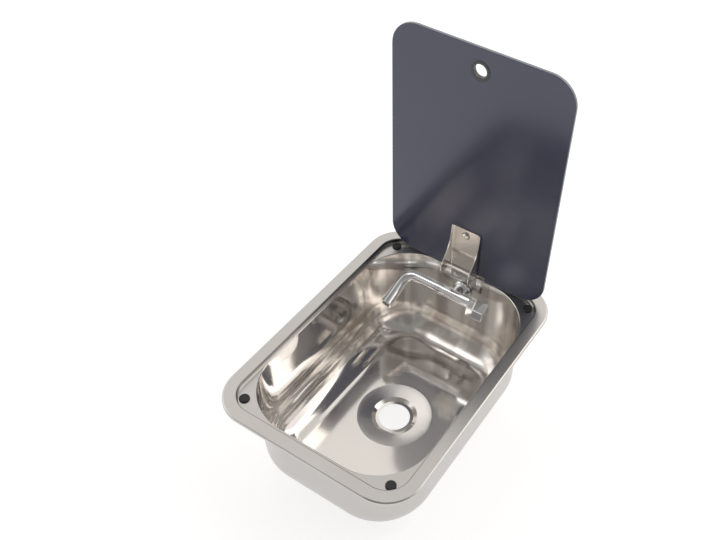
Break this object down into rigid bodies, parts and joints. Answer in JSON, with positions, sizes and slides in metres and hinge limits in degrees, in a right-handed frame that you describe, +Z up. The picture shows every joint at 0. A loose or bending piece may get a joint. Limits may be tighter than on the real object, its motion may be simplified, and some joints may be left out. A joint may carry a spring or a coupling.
{
  "type": "kitchen sink with glass lid",
  "caption": "Drop-in stainless sink with a recessed rim, a hinged dark glass lid that closes flush and a low tap on the rear wall that stays under the lid.",
  "frame": {"origin": "centre of the flange on the plane of the worktop, under the turned-down lip", "axes": "+Z up out of the worktop, +Y towards the lid hinge and the tap, +X to the lever side"},
  "size_m": [0.32, 0.445, 0.5719],
  "materials": {
    "stainless_sheet": "satin outside, polished inside",
    "grey_foam": "closed-cell foam",
    "black_rubber": "matte moulded",
    "hinge_steel": "polished pressed sheet",
    "fastener_steel": "bright turned",
    "zinc_steel": "zinc plated",
    "tap_chrome": "bright plated",
    "brass": "turned",
    "white_nylon": "moulded",
    "smoked_glass": "dark tinted, glossy, ground edge"
  },
  "bodies": {
    "sink": {"sink_bowl": "stainless_sheet", "rim_seal": "grey_foam", "lid_bumper_front_left": "black_rubber", "lid_bumper_front_right": "black_rubber", "lid_bumper_rear_left": "black_rubber", "lid_bumper_rear_right": "black_rubber", "hinge_base": "hinge_steel", "hinge_backing_plate": "zinc_steel", "hinge_base_screws": "fastener_steel", "hinge_base_nuts": "zinc_steel", "tap_body": "tap_chrome", "tap_wall_flange": "tap_chrome", "tap_wall_gasket": "black_rubber", "tap_shank": "brass", "shank_rubber_washer": "black_rubber", "shank_steel_washer": "zinc_steel", "shank_nut": "brass", "valve_cartridge": "brass", "spout_collar": "tap_chrome"},
    "lid": {"glass_lid": "smoked_glass", "finger_hole_grommet": "black_rubber", "hinge_arm": "hinge_steel", "hinge_arm_pad": "black_rubber", "hinge_pin": "fastener_steel", "hinge_tie_rod": "fastener_steel", "friction_washers": "white_nylon", "lid_cap": "tap_chrome", "lid_cap_washer": "black_rubber", "lid_glass_bush": "white_nylon", "lid_screw_washer": "fastener_steel", "lid_screw": "fastener_steel"},
    "spout": {"spout_tube": "tap_chrome", "spout_o_rings": "black_rubber", "spout_aerator": "tap_chrome", "aerator_insert": "white_nylon"},
    "lever": {"valve_spindle": "brass", "lever_handle": "tap_chrome", "lever_screw": "fastener_steel"}
  },
  "joints": [
    {"name": "lid_hinge", "type": "hinge", "parent": "sink", "child": "lid", "pos_m": [0, 0.1983, 0.003], "axis": [1, 0, 0], "range_deg": [0, 90]},
    {"name": "spout_swivel", "type": "hinge", "parent": "sink", "child": "spout", "pos_m": [-0.031, 0.1772, -0.041], "axis": [-1, 0, 0], "range_deg": [-45, 41]},
    {"name": "lever_turn", "type": "hinge", "parent": "sink", "child": "lever", "pos_m": [0.0268, 0.1772, -0.041], "axis": [-1, 0, 0], "range_deg": [0, 90]}
  ]
}
